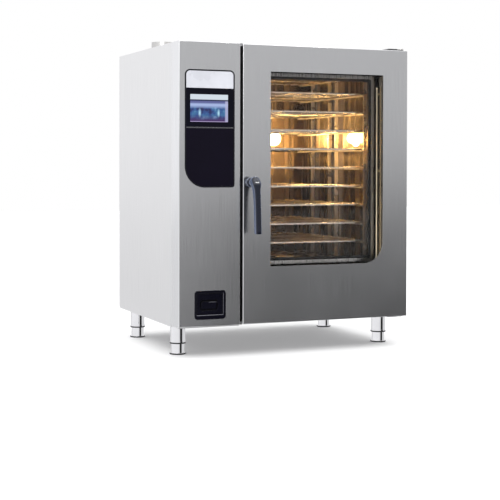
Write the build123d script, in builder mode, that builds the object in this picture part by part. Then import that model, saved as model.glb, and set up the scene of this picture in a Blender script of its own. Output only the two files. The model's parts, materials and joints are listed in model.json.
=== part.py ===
from build123d import *
import os

# Combi steamer oven: a ten-level electric combination oven on four legs.
# Millimetres. X runs to the right, Y from the front to the back and Z up. The origin is on the
# floor, in the middle of the whole oven's length and width. Most sizes below are given as a
# distance from the left side, from the front face or from the floor.

# Casing
WIDTH = 857.0
DEPTH = 666.0
TOP = 1046.0
BOTTOM = 100.0
FRONT_BOTTOM = 106.0
SHEET = 1.5
HANDLE_REACH = 74.0
REAR_REACH = 20.0
FASCIA_DEPTH = 73.0
FRONT = (HANDLE_REACH - DEPTH - REAR_REACH) / 2

# Control column
COLUMN_WIDTH = 217.0
INSERT_X = (20.5, 196.5)
INSERT_Z = (565.0, 954.0)
INSERT_BORDER = 4.5
INSERT_TOP_RADIUS = 18.0
INSERT_FOOT_RADIUS = 10.0
INSERT_SWEEP_RADIUS = 71.0
SCREEN_Z = (765.0, 892.5)
TRIM_Z = (760.5, 764.0)
POCKET_X = (55.0, 165.5)
POCKET_Z = (129.0, 225.0)

# Door
DOOR_X = (227.5, WIDTH)
DOOR_Z = (FRONT_BOTTOM, 1044.0)
DOOR_BACK = 60.0
DOOR_SHEET = 2.0
WINDOW_X = (328.0, 759.5)
WINDOW_Z = (297.0, 954.5)
WINDOW_RADIUS = 75.0
INNER_PANE_X = (340.0, 738.5)
INNER_PANE_Z = (312.0, 943.0)
HINGE = (843.0, 25.0)
HINGE_PIN_RADIUS = 5.0
HINGE_HEAD_RADIUS = 10.0
HINGE_ARM = 2.0
EDGE_RADIUS = 2.5
RUNNING_GAP = 0.05

# Handle and latch
SPINDLE = (255.0, 582.0)
SPINDLE_RADIUS = 6.0
LEVER_TOP = 602.0
LEVER_BOTTOM = 411.0
LEVER_WIDTH = 20.0
HEAD_RADIUS = 16.0
ROSE_RADIUS = 16.5
ROSE_THICKNESS = 11.0
JAW_DISTANCE = 24.0

# Cooking chamber
MOUTH_Y = 71.0
CHAMBER_X = (236.0, 757.0)
CHAMBER_Y = (FASCIA_DEPTH, 636.0)
CHAMBER_Z = (299.0, 1003.0)
BAFFLE_X = (321.0, 323.0)
WALL = 2.0
INSULATION = 24.0

# Shelves and racks
SHELF_COUNT = 10
SHELF_PITCH = 65.4
FIRST_SHELF = 369.0
SHELF_X = (340.0, 740.0)
SHELF_Y = (100.0, 630.0)
SHELF_ROD = 3.5
SHELF_WIRE = 1.5
WIRE_COUNT = 17
POST_WIDTH = 14.0
RAIL_THICKNESS = 3.0
RACK_POSTS = (115.0, 341.0, 396.0, 543.0)

# Fan, motor and heater
FAN_AXIS = (356.0, 651.0)
FAN_RADIUS = 150.0
SHAFT_RADIUS = 10.0
MOTOR_X = (45.0, 183.0)
MOTOR_RADIUS = 62.0
ROTOR_RADIUS = 42.0
BLADE_COUNT = 12
HEATER_RADIUS = 176.0
HEATER_TUBE = 4.2
HEATER_RINGS = (264.0, 281.0, 298.0)

# Lamps
RIGHT_LAMP = (198.0, 738.0)
BACK_LAMP = (622.0, 745.0)
LENS_RADIUS = 30.0
LENS_THICKNESS = 4.5

# Drain, water and steam
DRAIN = (540.0, 350.0)
DRAIN_HEIGHT = 175.0
DRAIN_RADIUS = 20.0
GENERATOR_X = (22.0, 188.0)
GENERATOR_Y = (330.0, 610.0)
GENERATOR_Z = (118.0, 420.0)
GENERATOR_WALL = 3.0
STEAM_OUTLET = (560.0, 360.0)
STEAM_RADIUS = 14.0
UNION_X = (60.0, 120.0)
UNION_HEIGHT = 300.0
UNION_RADIUS = 13.0
GLAND = (60.0, 170.0)
GLAND_RADIUS = 16.0
FLUE = (121.0, 517.0)
FLUE_RADIUS = 41.0
FLUE_TOP = 1090.0
FLUE_BRANCH_RADIUS = 24.0
FLUE_BRANCH_HEIGHT = 955.0

# Electronics cooling fan, in the rear of the control column
COOLING_FAN = (110.0, 840.0)
COOLING_FAN_SIZE = 119.0
COOLING_FAN_Y = (624.0, 662.0)
COOLING_ROTOR_RADIUS = 52.0

# Legs
LEG_X = (43.0, WIDTH - 43.0)
LEG_Y = (130.0, DEPTH - 93.0)
LEG_RADIUS = 25.5
FOOT_RADIUS = 22.5
FLANGE_RADIUS = 27.0
COLLAR_Z = (37.0, 46.0)
STEM_RADIUS = 10.0


def at(x, y, z):
    """The point x from the left side, y from the front face and z above the floor."""
    return (x - WIDTH / 2, FRONT + y, z)


def middle(span):
    return (span[0] + span[1]) / 2


def front_plane(depth=0.0):
    """A plane facing the front, depth behind the front face, with its own x and y along X and Z."""
    return Plane.XZ.offset(-(FRONT + depth))


def block(x, y, z, mode=Mode.ADD):
    """A box between two limits in each direction."""
    with Locations(at(middle(x), middle(y), middle(z))):
        Box(x[1] - x[0], y[1] - y[0], z[1] - z[0], mode=mode)


def bar_x(x, centre, radius, mode=Mode.ADD):
    """A round bar along X, about the (y, z) centre."""
    with Locations(Location(at(middle(x), *centre), (0, 90, 0))):
        Cylinder(radius, x[1] - x[0], mode=mode)


def bar_y(y, centre, radius, mode=Mode.ADD):
    """A round bar along Y, about the (x, z) centre."""
    with Locations(Location(at(centre[0], middle(y), centre[1]), (90, 0, 0))):
        Cylinder(radius, y[1] - y[0], mode=mode)


def bar_z(z, centre, radius, mode=Mode.ADD):
    """A round bar along Z, about the (x, y) centre."""
    with Locations(at(centre[0], centre[1], middle(z))):
        Cylinder(radius, z[1] - z[0], mode=mode)


def panel_outline(x, z, radius=0.0, mode=Mode.ADD):
    """A rectangle in the current front sketch, with one radius on its corners."""
    with Locations((middle(x) - WIDTH / 2, middle(z))):
        if radius:
            RectangleRounded(x[1] - x[0], z[1] - z[0], radius, mode=mode)
        else:
            Rectangle(x[1] - x[0], z[1] - z[0], mode=mode)


def grow(span, amount):
    """The span made larger by the amount at both ends."""
    return (span[0] - amount, span[1] + amount)


def save(piece, label):
    piece.label = label
    export_step(piece, f"parts/{label}.step")


def insert_outline(inset):
    """The control insert's outline: a tall panel with one large round corner at bottom left."""
    x = grow(INSERT_X, -inset)
    z = grow(INSERT_Z, -inset)
    with BuildSketch(front_plane(), mode=Mode.PRIVATE) as outline:
        panel_outline(x, z)
        fillet(outline.vertices().group_by(Axis.Y)[-1], INSERT_TOP_RADIUS - inset)
        lowest = outline.vertices().group_by(Axis.Y)[0].sort_by(Axis.X)
        fillet(lowest[-1], INSERT_FOOT_RADIUS - inset)
        lowest = outline.vertices().group_by(Axis.Y)[0].sort_by(Axis.X)
        fillet(lowest[0], INSERT_SWEEP_RADIUS - inset)
    return outline.sketch


def window_outline():
    """The window's outline: a rectangle with one round corner at bottom right."""
    with BuildSketch(front_plane(), mode=Mode.PRIVATE) as outline:
        panel_outline(WINDOW_X, WINDOW_Z)
        lowest = outline.vertices().group_by(Axis.Y)[0].sort_by(Axis.X)
        fillet(lowest[-1], WINDOW_RADIUS)
    return outline.sketch


def depth_extrude(profile, y, mode=Mode.ADD):
    """Extrude a front profile between two depths, in the current part."""
    placed = Pos(0, y[0], 0) * profile
    extrude(placed, amount=y[1] - y[0], dir=(0, 1, 0), mode=mode)


os.makedirs("parts", exist_ok=True)

shelf_heights = [FIRST_SHELF + SHELF_PITCH * level for level in range(SHELF_COUNT)]

# ---------------------------------------------------------------- casing

# Base frame: a folded bottom pan with two stiffening channels over the legs.
with BuildPart() as base_frame:
    block((SHEET, WIDTH - SHEET), (FASCIA_DEPTH, DEPTH - SHEET), (BOTTOM + SHEET, BOTTOM + 2 * SHEET))
    block((SHEET, COLUMN_WIDTH - SHEET), (4, FASCIA_DEPTH + 8), (FRONT_BOTTOM - 2 * SHEET, FRONT_BOTTOM))
    for leg_y in LEG_Y:
        channel = (leg_y - 32, leg_y + 32)
        block((SHEET + 4, WIDTH - SHEET - 4), channel, (BOTTOM, BOTTOM + SHEET))
        block((SHEET + 4, WIDTH - SHEET - 4), (channel[0], channel[0] + 3), (BOTTOM + SHEET, BOTTOM + 18))
        block((SHEET + 4, WIDTH - SHEET - 4), (channel[1] - 3, channel[1]), (BOTTOM + SHEET, BOTTOM + 18))
save(base_frame.part, "base_frame")

# Side panels: one folded sheet each, behind the front fascia's side return.
for name, outer, inner in (("left_side_panel", 0.0, SHEET), ("right_side_panel", WIDTH, WIDTH - SHEET)):
    inward = 1 if outer < inner else -1
    with BuildPart() as side_panel:
        with BuildSketch(Plane.YZ.offset(min(outer, inner) - WIDTH / 2)) as side_outline:
            with Locations((FRONT + middle((FASCIA_DEPTH, DEPTH)), middle((BOTTOM, TOP)))):
                Rectangle(DEPTH - FASCIA_DEPTH, TOP - BOTTOM)
            rear = side_outline.vertices().group_by(Axis.X)[-1].sort_by(Axis.Y)
            fillet(rear[0], 12.0)
        extrude(amount=SHEET)
        lip = tuple(sorted((inner, inner + inward * 12)))
        block(lip, (DEPTH - SHEET, DEPTH), (BOTTOM + 20, TOP - 20))
    save(side_panel.part, name)

# Rear panel: flat sheet with louvres, service holes and screw holes.
REAR_Y = (DEPTH - 2 * SHEET, DEPTH - SHEET)
with BuildPart() as rear_panel:
    block((SHEET, WIDTH - SHEET), REAR_Y, (BOTTOM + 2 * SHEET, TOP - SHEET))
    for x in (170.0, 540.0):
        with Locations([Location(at(x, middle(REAR_Y), 480.0 + 16 * row)) for row in range(9)]):
            Box(90, 4, 5, mode=Mode.SUBTRACT)
    with Locations([Location(at(COOLING_FAN[0], middle(REAR_Y), COOLING_FAN[1] - 45 + 10 * row))
                    for row in range(10)]):
        Box(96, 4, 5, mode=Mode.SUBTRACT)
    bar_y(grow(REAR_Y, 2), (DRAIN[0], DRAIN_HEIGHT), DRAIN_RADIUS, Mode.SUBTRACT)
    bar_y(grow(REAR_Y, 2), GLAND, 10.0, Mode.SUBTRACT)
    for x in UNION_X:
        bar_y(grow(REAR_Y, 2), (x, UNION_HEIGHT), UNION_RADIUS, Mode.SUBTRACT)
save(rear_panel.part, "rear_panel")

# Roof panel, with the hole for the flue.
with BuildPart() as roof_panel:
    block((SHEET, WIDTH - SHEET), (FASCIA_DEPTH, DEPTH - SHEET), (TOP - SHEET, TOP))
    bar_z((TOP - 4, TOP + 2), FLUE, FLUE_RADIUS, Mode.SUBTRACT)
save(roof_panel.part, "roof_panel")

# Front fascia of the control column, folded back on all four sides.
with BuildPart() as front_fascia:
    block((0, COLUMN_WIDTH), (0, FASCIA_DEPTH), (FRONT_BOTTOM, TOP))
    fillet(front_fascia.faces().sort_by(Axis.Y)[0].edges(), EDGE_RADIUS)
    block((SHEET, COLUMN_WIDTH - SHEET), (SHEET, FASCIA_DEPTH), (FRONT_BOTTOM + SHEET, TOP - SHEET),
          Mode.SUBTRACT)
    block((COLUMN_WIDTH - 2 * SHEET, COLUMN_WIDTH), (MOUTH_Y, FASCIA_DEPTH), (FRONT_BOTTOM, TOP),
          Mode.SUBTRACT)
    # Two tabs close the top and bottom of the gap beside the door.
    block((COLUMN_WIDTH - SHEET, DOOR_X[0] - 2), (2, 20), (TOP - 5, TOP))
    block((COLUMN_WIDTH - SHEET, DOOR_X[0] - 2), (2, 20), (FRONT_BOTTOM, FRONT_BOTTOM + 5))
    depth_extrude(insert_outline(2.8), (-1, SHEET + 1), Mode.SUBTRACT)
    with BuildSketch(front_plane(-1)):
        panel_outline(grow(POCKET_X, -5.5), grow(POCKET_Z, -6.0), 7.0)
    extrude(amount=-(SHEET + 2), mode=Mode.SUBTRACT)
save(front_fascia.part, "front_fascia")

# Mouth frame: the plate around the cooking chamber's mouth, behind the door.
with BuildPart() as mouth_frame:
    block((COLUMN_WIDTH + 0.5, WIDTH - SHEET), (MOUTH_Y, FASCIA_DEPTH), (FRONT_BOTTOM, TOP - SHEET))
    block((BAFFLE_X[1], CHAMBER_X[1]), (MOUTH_Y - 1, FASCIA_DEPTH + 1), CHAMBER_Z, Mode.SUBTRACT)
save(mouth_frame.part, "mouth_frame")

# ---------------------------------------------------------------- cooking chamber

# Cooking chamber: a welded box, open at the front, with the fan's space at its left.
CHAMBER_OUTER_X = grow(CHAMBER_X, WALL)
CHAMBER_OUTER_Z = grow(CHAMBER_Z, WALL)
with BuildPart() as cooking_chamber:
    block(CHAMBER_OUTER_X, (CHAMBER_Y[0], CHAMBER_Y[1] + WALL), CHAMBER_OUTER_Z)
    block(CHAMBER_X, (CHAMBER_Y[0] + WALL, CHAMBER_Y[1]), CHAMBER_Z, Mode.SUBTRACT)
    block((BAFFLE_X[1], CHAMBER_X[1]), (CHAMBER_Y[0] - 1, CHAMBER_Y[0] + WALL + 1), CHAMBER_Z,
          Mode.SUBTRACT)
    left_wall = (CHAMBER_OUTER_X[0] - 1, CHAMBER_X[0] + 1)
    right_wall = (CHAMBER_X[1] - 1, CHAMBER_OUTER_X[1] + 1)
    bar_x(left_wall, FAN_AXIS, SHAFT_RADIUS + 2, Mode.SUBTRACT)
    bar_x(left_wall, STEAM_OUTLET, STEAM_RADIUS, Mode.SUBTRACT)
    bar_x(left_wall, (FLUE[1], FLUE_BRANCH_HEIGHT), FLUE_BRANCH_RADIUS, Mode.SUBTRACT)
    for side in (-1, 1):
        bar_x(left_wall, (FAN_AXIS[0] + side * 20, FAN_AXIS[1] - HEATER_RADIUS), HEATER_TUBE + 0.2,
              Mode.SUBTRACT)
    bar_x(right_wall, RIGHT_LAMP, LENS_RADIUS - 4, Mode.SUBTRACT)
    bar_y((CHAMBER_Y[1] - 1, CHAMBER_Y[1] + WALL + 1), BACK_LAMP, LENS_RADIUS - 4, Mode.SUBTRACT)
    bar_z((CHAMBER_OUTER_Z[0] - 1, CHAMBER_Z[0] + 1), DRAIN, DRAIN_RADIUS, Mode.SUBTRACT)
save(cooking_chamber.part, "cooking_chamber")

# Insulation: mineral wool slabs around the chamber's five closed sides.
INSULATION_Y = (CHAMBER_Y[0] + WALL, REAR_Y[0] - 1)
LEFT_SLAB = (CHAMBER_OUTER_X[0] - INSULATION, CHAMBER_OUTER_X[0])
RIGHT_SLAB = (CHAMBER_OUTER_X[1], CHAMBER_OUTER_X[1] + 40.0)
with BuildPart() as chamber_insulation:
    block((LEFT_SLAB[0], RIGHT_SLAB[1]), INSULATION_Y, (CHAMBER_OUTER_Z[0] - 30, CHAMBER_OUTER_Z[1] + 30))
    block(CHAMBER_OUTER_X, (CHAMBER_Y[0], CHAMBER_Y[1] + WALL), CHAMBER_OUTER_Z, Mode.SUBTRACT)
    left_cut = grow(LEFT_SLAB, 1)
    bar_x(left_cut, FAN_AXIS, SHAFT_RADIUS + 8, Mode.SUBTRACT)
    bar_x(left_cut, STEAM_OUTLET, STEAM_RADIUS, Mode.SUBTRACT)
    bar_x(left_cut, (FLUE[1], FLUE_BRANCH_HEIGHT), FLUE_BRANCH_RADIUS, Mode.SUBTRACT)
    for side in (-1, 1):
        bar_x(left_cut, (FAN_AXIS[0] + side * 20, FAN_AXIS[1] - HEATER_RADIUS), HEATER_TUBE + 2,
              Mode.SUBTRACT)
    bar_x((CHAMBER_OUTER_X[1] - 1, CHAMBER_OUTER_X[1] + 34), RIGHT_LAMP, LENS_RADIUS, Mode.SUBTRACT)
    bar_y((CHAMBER_Y[1], REAR_Y[0]), BACK_LAMP, LENS_RADIUS, Mode.SUBTRACT)
    bar_z((CHAMBER_OUTER_Z[0] - 31, CHAMBER_Z[0]), DRAIN, DRAIN_RADIUS, Mode.SUBTRACT)
save(chamber_insulation.part, "chamber_insulation")

# Air baffle: the plate between the shelves and the fan, with a round guard in front of the fan.
with BuildPart() as air_baffle:
    block(BAFFLE_X, (90, 612), (322, 982))
    bar_x(grow(BAFFLE_X, 1), FAN_AXIS, 112.0, Mode.SUBTRACT)
    with Locations(Location(at(middle(BAFFLE_X), *FAN_AXIS), (0, 90, 0))):
        for radius in (28.0, 56.0, 84.0):
            Torus(radius, 2.0)
    for angle in range(0, 180, 45):
        with Locations(Location(at(middle(BAFFLE_X), *FAN_AXIS), (angle, 0, 0))):
            Box(2, 3, 226)
    for y in (112, 590):
        for z in (345, 960):
            bar_x((CHAMBER_X[0], BAFFLE_X[0] + 1), (y, z), 6.0)
save(air_baffle.part, "air_baffle")

# Ring heater: three tubular rings around the fan wheel, clipped together, with two terminals.
with BuildPart() as ring_heater:
    for x in HEATER_RINGS:
        with Locations(Location(at(x, *FAN_AXIS), (0, 90, 0))):
            Torus(HEATER_RADIUS, HEATER_TUBE)
    for side in (-1, 1):
        bar_x((LEFT_SLAB[0] - 12, HEATER_RINGS[-1]), (FAN_AXIS[0] + side * 20, FAN_AXIS[1] - HEATER_RADIUS),
              HEATER_TUBE)
        block((HEATER_RINGS[0] - 7, HEATER_RINGS[-1] + 7), grow((FAN_AXIS[0] + side * HEATER_RADIUS,) * 2, 3),
              grow((FAN_AXIS[1],) * 2, 8))
save(ring_heater.part, "ring_heater")

# Hanging racks: four posts and ten rails on each side, spot-welded together.
RAIL_Y = (94.0, 634.0)
for name, wall, inward in (("rack_left", BAFFLE_X[1] + 1, 1), ("rack_right", CHAMBER_X[1] - 1, -1)):
    post_edge = wall + inward * POST_WIDTH
    rail_edge = post_edge + inward * 17
    with BuildPart() as posts:
        for y in RACK_POSTS:
            block(tuple(sorted((wall, post_edge))), (y - 2, y + 2), (CHAMBER_Z[0], shelf_heights[-1] + 24))
    with BuildPart() as rails:
        for height in shelf_heights:
            rail_top = height - SHELF_ROD - 0.5
            block(tuple(sorted((post_edge, rail_edge))), RAIL_Y, (rail_top - RAIL_THICKNESS, rail_top))
    rack = Compound(children=[*posts.part.solids(), *rails.part.solids()])
    save(rack, name)

# Shelves: a rod frame with two cross rods and a row of long wires.
with BuildPart() as shelf:
    frame_x = grow(SHELF_X, -SHELF_ROD)
    frame_y = grow(SHELF_Y, -SHELF_ROD)
    first = shelf_heights[0]
    with BuildLine() as frame_line:
        FilletPolyline(at(frame_x[0], frame_y[0], first), at(frame_x[1], frame_y[0], first),
                       at(frame_x[1], frame_y[1], first), at(frame_x[0], frame_y[1], first),
                       radius=16, close=True)
    loop = frame_line.wire()
    with BuildSketch(Plane(origin=loop @ 0, z_dir=loop % 0)):
        Circle(SHELF_ROD)
    sweep(path=loop)
    for y in (SHELF_Y[0] + 176, SHELF_Y[1] - 176):
        bar_x(frame_x, (y, first - 0.5), 2.5)
    wire_pitch = (frame_x[1] - frame_x[0]) / (WIRE_COUNT + 1)
    for index in range(WIRE_COUNT):
        bar_y(frame_y, (frame_x[0] + wire_pitch * (index + 1), first + 1.8), SHELF_WIRE)
for level, height in enumerate(shelf_heights, start=1):
    save(Pos(0, 0, height - first) * shelf.part, f"shelf_{level:02d}")

# Lamps: a glass lens over a hole in the wall, with the socket and its bulb behind it.
with BuildPart() as lamp_lenses:
    bar_x((CHAMBER_X[1] - LENS_THICKNESS, CHAMBER_X[1]), RIGHT_LAMP, LENS_RADIUS)
    bar_y((CHAMBER_Y[1] - LENS_THICKNESS, CHAMBER_Y[1]), BACK_LAMP, LENS_RADIUS)
    rims = lamp_lenses.edges().filter_by(GeomType.CIRCLE)
    fillet([rims.sort_by(Axis.X)[0], rims.sort_by(Axis.X)[-2]], 1.0)
save(lamp_lenses.part, "lamp_lenses")

# Lamp sockets: a cup behind each lens, with its bulb.
with BuildPart() as lamp_sockets:
    right_back = CHAMBER_OUTER_X[1] + 30
    bar_x((CHAMBER_OUTER_X[1], right_back), RIGHT_LAMP, LENS_RADIUS - 1)
    bar_x((CHAMBER_OUTER_X[1] - 1, right_back - 3), RIGHT_LAMP, LENS_RADIUS - 3, Mode.SUBTRACT)
    bar_x((CHAMBER_X[1] + 1, right_back - 2), RIGHT_LAMP, 7.0)
    rear_back = REAR_Y[0] - 1
    bar_y((CHAMBER_Y[1] + WALL, rear_back), BACK_LAMP, LENS_RADIUS - 1)
    bar_y((CHAMBER_Y[1] + 1, rear_back - 3), BACK_LAMP, LENS_RADIUS - 3, Mode.SUBTRACT)
    bar_y((CHAMBER_Y[1] + 1, rear_back - 2), BACK_LAMP, 7.0)
save(lamp_sockets.part, "lamp_sockets")

# Door gasket: a silicone ring around the mouth.
with BuildPart() as door_gasket:
    mouth_x = (BAFFLE_X[1], CHAMBER_X[1])
    with BuildSketch(front_plane(DOOR_BACK + 0.6)):
        panel_outline(grow(mouth_x, 16), grow(CHAMBER_Z, 16), 18.0)
        panel_outline(grow(mouth_x, 2), grow(CHAMBER_Z, 2), 4.0, Mode.SUBTRACT)
    extrude(amount=-(MOUTH_Y - DOOR_BACK - 0.6))
save(door_gasket.part, "door_gasket")

# ---------------------------------------------------------------- fan and motor

# Motor housing: a finned casing around the rotor, with a bearing seat at each end.
FLANGE_X = (LEFT_SLAB[0] - 4, LEFT_SLAB[0])
ROTOR_SPACE_X = (MOTOR_X[0] + 9, MOTOR_X[1] - 23)
with BuildPart() as fan_motor:
    bar_x(MOTOR_X, FAN_AXIS, MOTOR_RADIUS)
    for x in range(60, 175, 8):
        bar_x((x, x + 3), FAN_AXIS, MOTOR_RADIUS + 5)
    bar_x((MOTOR_X[1], FLANGE_X[0]), FAN_AXIS, 38.0)
    block(FLANGE_X, grow((FAN_AXIS[0],) * 2, 95), grow((FAN_AXIS[1],) * 2, 95))
    block((85, 150), grow((FAN_AXIS[0],) * 2, 32), (FAN_AXIS[1] + 55, FAN_AXIS[1] + 96))
    bar_x(ROTOR_SPACE_X, FAN_AXIS, ROTOR_RADIUS + 4, Mode.SUBTRACT)
    bar_x((MOTOR_X[0] + 5, FLANGE_X[1] + 1), FAN_AXIS, SHAFT_RADIUS + RUNNING_GAP, Mode.SUBTRACT)
save(fan_motor.part, "fan_motor")

# Fan shaft: it carries the motor's rotor at one end and the wheel, under a hexagon nut, at the other.
WHEEL_X = (252.0, 305.0)
with BuildPart() as fan_shaft:
    bar_x((MOTOR_X[0] + 6, WHEEL_X[1]), FAN_AXIS, SHAFT_RADIUS)
    bar_x(grow(ROTOR_SPACE_X, -14), FAN_AXIS, ROTOR_RADIUS)
    with BuildSketch(Plane.YZ.offset(WHEEL_X[1] - WIDTH / 2)):
        with Locations((FRONT + FAN_AXIS[0], FAN_AXIS[1])):
            RegularPolygon(16, 6)
    extrude(amount=9)
save(fan_shaft.part, "fan_shaft")

# Fan wheel: a back plate, a front ring and twelve blades.
with BuildPart() as fan_wheel:
    bar_x((WHEEL_X[0], WHEEL_X[0] + 3), FAN_AXIS, FAN_RADIUS)
    bar_x(WHEEL_X, FAN_AXIS, 24.0)
    bar_x((WHEEL_X[1] - 2, WHEEL_X[1]), FAN_AXIS, FAN_RADIUS)
    bar_x((WHEEL_X[1] - 3, WHEEL_X[1] + 1), FAN_AXIS, 116.0, Mode.SUBTRACT)
    bar_x((WHEEL_X[1] - 3, WHEEL_X[1]), FAN_AXIS, 24.0)
    wheel_centre = Location(at(middle(WHEEL_X), *FAN_AXIS), (0, 90, 0))
    with Locations(wheel_centre):
        with PolarLocations(126.0, BLADE_COUNT):
            with Locations(Location((0, 0, 0), (0, 0, 28))):
                Box(46, 3, WHEEL_X[1] - WHEEL_X[0] - 2)
    bar_x(grow(WHEEL_X, 1), FAN_AXIS, SHAFT_RADIUS, Mode.SUBTRACT)
save(fan_wheel.part, "fan_wheel")

# ---------------------------------------------------------------- water, steam, drain and power

# Drain: a strainer over the floor's hole and a pipe that turns to the back.
with BuildPart() as drain_fitting:
    with BuildLine() as drain_line:
        FilletPolyline(at(*DRAIN, CHAMBER_Z[0] + 1), at(*DRAIN, DRAIN_HEIGHT),
                       at(DRAIN[0], DEPTH + REAR_REACH, DRAIN_HEIGHT), radius=45)
    with BuildSketch(Plane.XY.offset(CHAMBER_Z[0] + 1)):
        with Locations(at(*DRAIN, 0)[:2]):
            Circle(DRAIN_RADIUS)
            Circle(DRAIN_RADIUS - 2, mode=Mode.SUBTRACT)
    sweep(path=drain_line.wire())
    bar_z((CHAMBER_Z[0], CHAMBER_Z[0] + 3), DRAIN, 34.0)
    with Locations(at(*DRAIN, CHAMBER_Z[0] + 1.5)):
        with PolarLocations(11.0, 6):
            Cylinder(4.0, 8, mode=Mode.SUBTRACT)
save(drain_fitting.part, "drain_fitting")

# Steam generator: a small boiler in the foot of the control column, with its pipe to the chamber.
with BuildPart() as steam_generator:
    block(GENERATOR_X, GENERATOR_Y, GENERATOR_Z)
    fillet(steam_generator.edges().filter_by(Axis.Z), 18)
    bar_x((GENERATOR_X[1] - 2, CHAMBER_X[0]), STEAM_OUTLET, STEAM_RADIUS)
    for z in (190, 270, 350):
        bar_y((GENERATOR_Y[0] - 12, GENERATOR_Y[0] + 2), (middle(GENERATOR_X), z), 26)
    bar_z((GENERATOR_Z[1] - 2, GENERATOR_Z[1] + 16), (70, 400), 12)
    block(grow(GENERATOR_X, -GENERATOR_WALL), grow(GENERATOR_Y, -GENERATOR_WALL),
          grow(GENERATOR_Z, -GENERATOR_WALL), Mode.SUBTRACT)
    bar_x((GENERATOR_X[1] - 5, CHAMBER_X[0] + 1), STEAM_OUTLET, STEAM_RADIUS - 2, Mode.SUBTRACT)
save(steam_generator.part, "steam_generator")

# Water unions: two threaded inlets through the rear panel.
with BuildPart() as water_unions:
    for x in UNION_X:
        bar_y((610, DEPTH + REAR_REACH - 2), (x, UNION_HEIGHT), UNION_RADIUS)
        bar_y((REAR_Y[1], REAR_Y[1] + 4), (x, UNION_HEIGHT), UNION_RADIUS + 6)
        bar_y((612, DEPTH + REAR_REACH), (x, UNION_HEIGHT), UNION_RADIUS - 4, Mode.SUBTRACT)
save(water_unions.part, "water_unions")

# Cable gland for the mains lead.
with BuildPart() as cable_gland:
    with BuildSketch(front_plane(REAR_Y[1])):
        with Locations((GLAND[0] - WIDTH / 2, GLAND[1])):
            RegularPolygon(GLAND_RADIUS, 6)
    extrude(amount=-8)
    bar_y((REAR_Y[0] - 10, REAR_Y[1]), GLAND, 10.0)
    bar_y((REAR_Y[1] + 8, DEPTH + REAR_REACH - 3), GLAND, 13.0)
    bar_y((REAR_Y[0] - 12, DEPTH + REAR_REACH), GLAND, 7.0, Mode.SUBTRACT)
save(cable_gland.part, "cable_gland")

# Flue: a stub through the roof, joined to the chamber by a short branch.
with BuildPart() as vent_pipe:
    bar_z((FLUE_BRANCH_HEIGHT - 32, FLUE_TOP), FLUE, FLUE_RADIUS)
    bar_x((FLUE[0], CHAMBER_X[0]), (FLUE[1], FLUE_BRANCH_HEIGHT), FLUE_BRANCH_RADIUS)
    bar_z((FLUE_BRANCH_HEIGHT - 30, FLUE_TOP + 1), FLUE, FLUE_RADIUS - 2, Mode.SUBTRACT)
    bar_x((FLUE[0], CHAMBER_X[0] + 1), (FLUE[1], FLUE_BRANCH_HEIGHT), FLUE_BRANCH_RADIUS - 1.5,
          Mode.SUBTRACT)
save(vent_pipe.part, "vent_pipe")

# ---------------------------------------------------------------- electronics

# Control board, on four pillars behind the insert.
BOARD_Y = (58.0, 60.0)
with BuildPart() as control_board:
    block((30, 186), BOARD_Y, (600, 880))
    block((50, 90), (60, 78), (640, 700))
    block((110, 170), (60, 70), (760, 800))
    for index in range(4):
        block((45 + 34 * index, 71 + 34 * index), (60, 84), (825, 860))
    for x in (40, 176):
        for z in (612, 868):
            bar_y((15.5, 58), (x, z), 3.0)
save(control_board.part, "control_board")

# Cooling fan: a square frame with three struts, and the rotor that turns on its stub.
fan_x = grow((COOLING_FAN[0],) * 2, COOLING_FAN_SIZE / 2)
fan_z = grow((COOLING_FAN[1],) * 2, COOLING_FAN_SIZE / 2)
with BuildPart() as cooling_fan_frame:
    block(fan_x, COOLING_FAN_Y, fan_z)
    bar_y((COOLING_FAN_Y[0] - 1, COOLING_FAN_Y[1] + 1), COOLING_FAN, COOLING_ROTOR_RADIUS + 3, Mode.SUBTRACT)
    bar_y((COOLING_FAN_Y[1] - 8, COOLING_FAN_Y[1]), COOLING_FAN, 20.0)
    for angle in (0, 120, 240):
        with Locations(Location(at(COOLING_FAN[0], COOLING_FAN_Y[1] - 2, COOLING_FAN[1]), (0, angle, 0))):
            with Locations((0, 0, 37)):
                Box(6, 4, 42)
    bar_y((COOLING_FAN_Y[1] - 9, COOLING_FAN_Y[1] - 1), COOLING_FAN, 3 + RUNNING_GAP, Mode.SUBTRACT)
save(cooling_fan_frame.part, "cooling_fan_frame")

with BuildPart() as cooling_fan_rotor:
    rotor_y = (COOLING_FAN_Y[0] + 3, COOLING_FAN_Y[1] - 9)
    bar_y(rotor_y, COOLING_FAN, 20.0)
    bar_y((rotor_y[1], COOLING_FAN_Y[1] - 2), COOLING_FAN, 3.0)
    for index in range(7):
        with Locations(Location(at(COOLING_FAN[0], middle(rotor_y), COOLING_FAN[1]), (0, 360 / 7 * index, 0))):
            with Locations(Location((0, 0, 35), (0, 0, 35))):
                Box(24, 2, 33)
save(cooling_fan_rotor.part, "cooling_fan_rotor")

# ---------------------------------------------------------------- control insert

# Bezel: a thin rim around the insert, with a sleeve through the fascia.
with BuildPart() as control_bezel:
    depth_extrude(insert_outline(0), (-1.5, 0))
    depth_extrude(insert_outline(3), (0, 14))
    depth_extrude(insert_outline(INSERT_BORDER), (-2, 12), Mode.SUBTRACT)
save(control_bezel.part, "control_bezel")


def insert_face(z, gap=0.2):
    """The part of the insert's face between two heights."""
    with BuildSketch(front_plane(), mode=Mode.PRIVATE) as face:
        add(insert_outline(INSERT_BORDER + gap))
        panel_outline(INSERT_X, z, mode=Mode.INTERSECT)
    return face.sketch


# Header strip, touch screen and lower cover: they share one outline, cut at three heights.
with BuildPart() as header_strip:
    depth_extrude(insert_face((SCREEN_Z[1] + 0.4, INSERT_Z[1])), (-1.2, 12))
save(header_strip.part, "header_strip")

with BuildPart() as touch_screen:
    depth_extrude(insert_face(SCREEN_Z), (-0.8, 12))
save(touch_screen.part, "touch_screen")

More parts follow.
